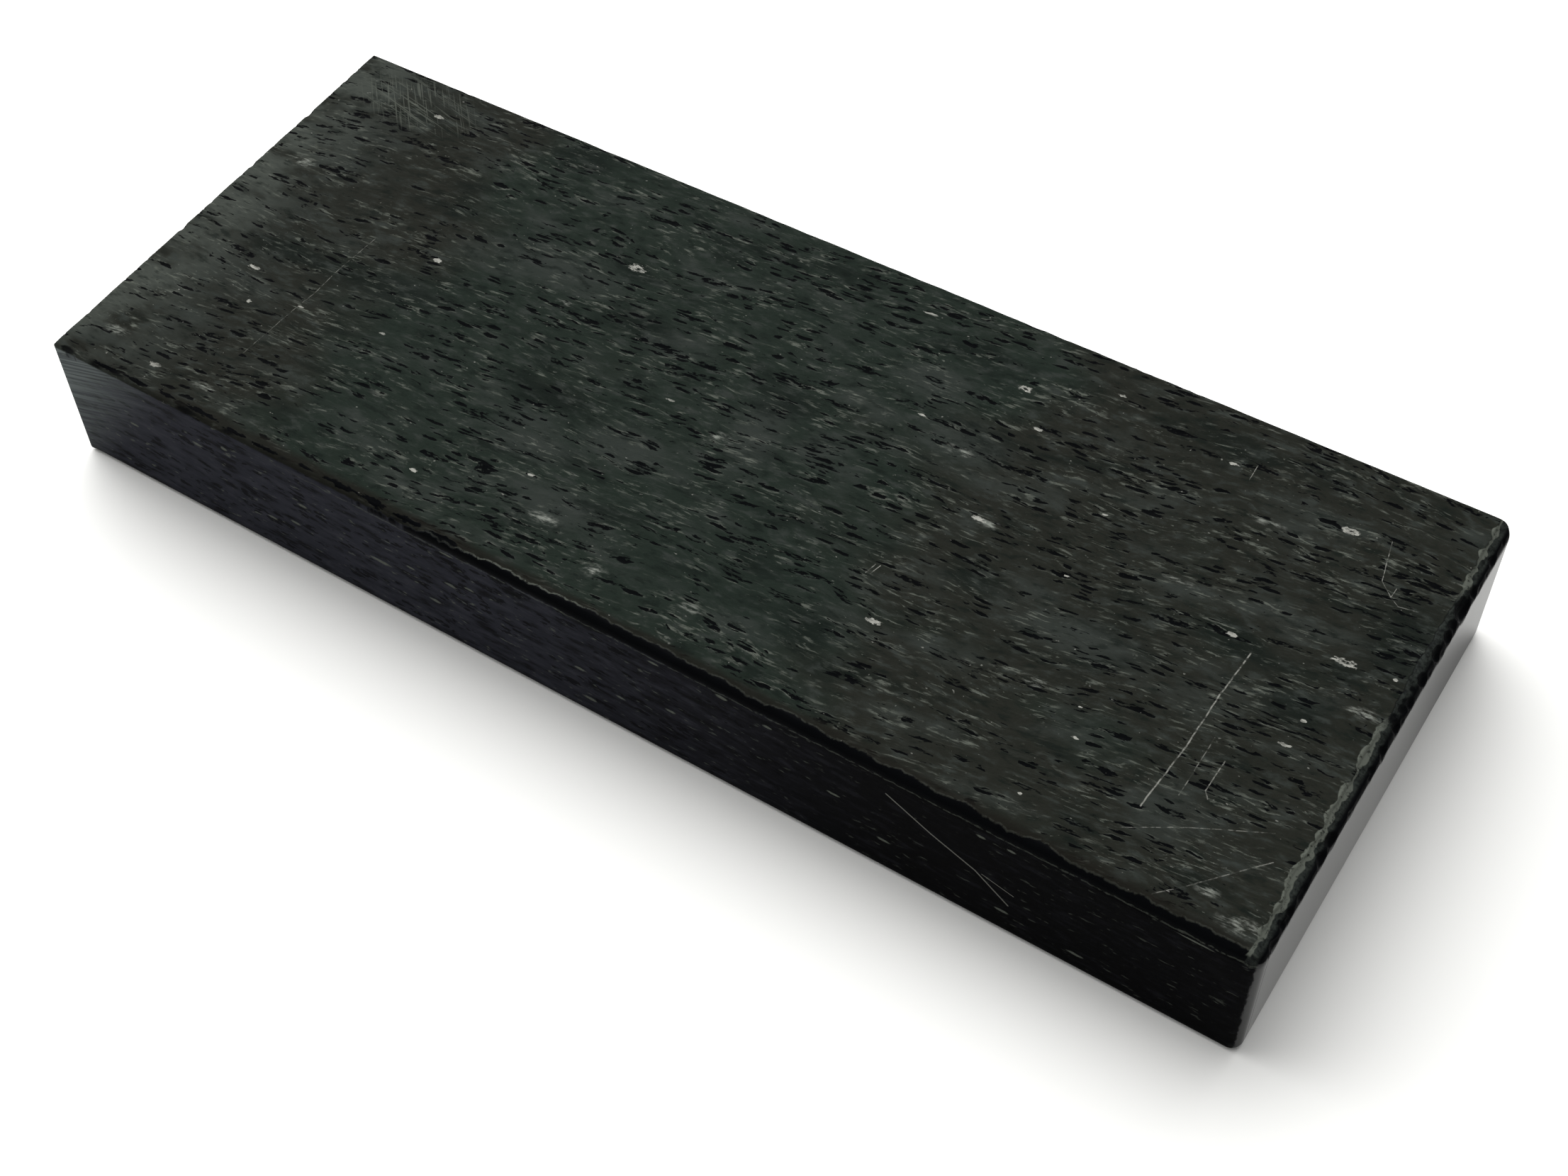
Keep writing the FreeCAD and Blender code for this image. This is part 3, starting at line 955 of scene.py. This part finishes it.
def edge_colour(g, at, grain, edges, zones, pattern, saw):
    """The colour of the stone everywhere, with the wear of its edges, and painted shade and a painted
    dark reflection along them.
    """
    dark, beside = pattern
    top = brushed_colour(g, at, grain, edges, dark, beside)
    top = top_marks(g, at, grain, front_strip(g, at, grain, edges, top))
    base = g.blend(zones.brushed, side_colour(g, at, edges, dark), top)
    # The polished zones are near black; the front edge's band is blacker still, its polish with a painted
    # dark reflection
    base = g.blend(zones.polished, base, g.blend(zones.band, POLISHED, BLACK))
    base = g.blend(zones.sawn, base, sawn_colour(g, at, dark, saw))
    grit = g.noise(at, 0.9, detail=3.0, rough=0.7, seed=91.0)
    base = worn_right(g, at, edges, zones, grit, base)
    return front_lines(g, edges, zones, grit, base)


def edge_material():
    """Everything else: the top near its edges, where it turns into them, the sides and underside."""
    material, shader, g, at = start_stone("granite_edges")
    grain = along_the_grain(g, at)
    edges = Edges(g, at)
    pattern = flakes(g, grain)
    fray = g.wobble(at, 1.6, 0.9, detail=3.0, seed=90.0)
    zones = Zones(g, at, edges, fray)
    chipped = g.node("ShaderNodeAttribute", {}, output=2, attribute_name="chipped")
    saw = g.noise(g.turn(at, math.radians(4)), (45.0, 45.0, 0.55), detail=2.0, seed=82.0)
    base = edge_colour(g, at, grain, edges, zones, pattern, saw)
    # Painted shade: the chips' hollows are darkened towards black
    g.put(shader.inputs["Base Color"], g.blend(g.mul(chipped, 0.85), base, BLACK))

    top_roughness, height = brushed_finish(g, grain)
    roughness = g.blend_value(zones.brushed, SIDE_ROUGHNESS, top_roughness)
    roughness = g.blend_value(zones.sawn, roughness, SAWN_ROUGHNESS)
    roughness = g.blend_value(zones.polished, roughness, POLISHED_ROUGHNESS)
    g.put(shader.inputs["Roughness"], roughness)
    groove = g.ramp(g.math("ABSOLUTE", g.sub(edges.from_front, GROOVE)), 0.1, 0.3)
    rubbed = g.ramp(edges.from_front, 50.0, 90.0, *POLISH)
    coat = g.mul(g.mul(zones.by_side, rubbed), g.opposite(zones.sawn))
    g.put(shader.inputs["Coat Weight"], g.mul(coat, g.mul(groove, g.opposite(chipped))))
    shader.inputs["Coat Roughness"].default_value = COAT_ROUGHNESS
    shader.inputs["Coat IOR"].default_value = COAT_IOR
    add_bump(g, shader, g.add(g.mul(zones.brushed, height), g.mul(zones.sawn, saw)))
    return material


# How far the open top stays from the front, right, back and left walls
CLEAR_OF_EDGES = (8, 8, 4, 4)


def on_open_top(mesh):
    """Which faces lie on the top, clear of all that happens at its edges."""
    centres = np.zeros(len(mesh.polygons) * 3)
    mesh.polygons.foreach_get("center", centres)
    centres = centres.reshape(-1, 3) / MM
    inside = -four_walls(centres) > np.array(CLEAR_OF_EDGES)[:, None]
    return inside.all(0) & (centres[:, 2] > HEIGHT - 1)


def make_slab():
    slab = bpy.data.objects.new("stone_slab", slab_mesh())
    bpy.context.scene.collection.objects.link(slab)
    slab.data.materials.append(edge_material())
    slab.data.materials.append(open_top_material())
    is_open = on_open_top(slab.data)
    slab.data.polygons.foreach_set("material_index", is_open.astype(np.int32))
    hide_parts(NODE)
    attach(slab, "root")


# ---------------------------------------------------------------- floor, light and camera

FLOOR_HALF = 80000.0
FLOOR_COLOUR = (0.86, 0.86, 0.84)
FLOOR_ROUGHNESS = 0.8
# The dome's two poles, as azimuth and elevation in degrees: the brightest and the darkest
BRIGHT_POLE = (160, 43)
DARK_POLE = (262, 45)
# How bright the dome is far from the bright pole and at it, and what share the dark one leaves
BRIGHTNESS = (0.35, 4.0)
DIMMING = (1.0, 0.1)
# The camera, in degrees and millimetres
CAMERA_AZIMUTH, CAMERA_ELEVATION, CAMERA_ROLL = 33.6, 51.95, -1.45
CAMERA_DISTANCE = 441.7
CAMERA_AIM = (11.2, -8.5, 0.0)
CAMERA_LENS = 54.08
CAMERA_SENSOR = 36.0
CAMERA_CLIP = 10.0


def make_floor():
    """A plain pale table, wide enough that its border never shows."""
    mesh = bpy.data.meshes.new("floor")
    half = FLOOR_HALF * MM
    corners = [(x * half, y * half, 0) for x, y in ((-1, -1), (1, -1), (1, 1), (-1, 1))]
    mesh.from_pydata(corners, [], [(0, 1, 2, 3)])
    floor = bpy.data.objects.new("floor", mesh)
    bpy.context.scene.collection.objects.link(floor)
    material = bpy.data.materials.new("white_table")
    material.use_nodes = True
    shader = material.node_tree.nodes["Principled BSDF"]
    shader.inputs["Base Color"].default_value = (*FLOOR_COLOUR, 1)
    shader.inputs["Roughness"].default_value = FLOOR_ROUGHNESS
    mesh.materials.append(material)


def light_studio():
    """A dome of soft light: bright behind and to the left, dark on the side of whoever looks on."""
    world = bpy.data.worlds.new("room")
    bpy.context.scene.world = world
    world.use_nodes = True
    background = world.node_tree.nodes["Background"]
    background.inputs["Color"].default_value = (1, 1, 1, 1)
    g = Graph(world.node_tree)
    way = g.node("ShaderNodeTexCoord", {}, output=0)

    def towards(azimuth, elevation):
        a, e = math.radians(azimuth), math.radians(elevation)
        pole = (math.cos(a) * math.cos(e), math.sin(a) * math.cos(e), math.sin(e))
        return g.measure("DOT_PRODUCT", way, pole)

    bright = g.ramp(towards(*BRIGHT_POLE), 0.2, 0.95, *BRIGHTNESS)
    shaded = g.ramp(towards(*DARK_POLE), 0.6, 0.93, *DIMMING)
    g.put(background.inputs["Strength"], g.mul(bright, shaded))
    bpy.context.scene.view_settings.view_transform = "Standard"


def place_camera():
    """Stands the camera off the slab's right front corner, looking down on it with a longish lens."""
    azimuth, elevation = math.radians(CAMERA_AZIMUTH), math.radians(CAMERA_ELEVATION)
    roll = math.radians(CAMERA_ROLL)
    distance, aim = CAMERA_DISTANCE * MM, Vector(CAMERA_AIM) * MM
    back = Vector((math.sin(azimuth) * math.cos(elevation),
                   -math.cos(azimuth) * math.cos(elevation), math.sin(elevation)))
    side = Vector((0, 0, 1)).cross(back).normalized()
    up = back.cross(side)
    turned_side = side * math.cos(roll) + up * math.sin(roll)
    turned_up = up * math.cos(roll) - side * math.sin(roll)
    data = bpy.data.cameras.new("camera")
    data.sensor_width, data.lens = CAMERA_SENSOR, CAMERA_LENS
    data.clip_start = CAMERA_CLIP * MM
    camera = bpy.data.objects.new("camera", data)
    rotation = Matrix((turned_side, turned_up, back)).transposed().to_4x4()
    camera.matrix_world = Matrix.Translation(aim + back * distance) @ rotation
    bpy.context.scene.collection.objects.link(camera)
    bpy.context.scene.camera = camera


make_slab()
make_floor()
light_studio()
place_camera()
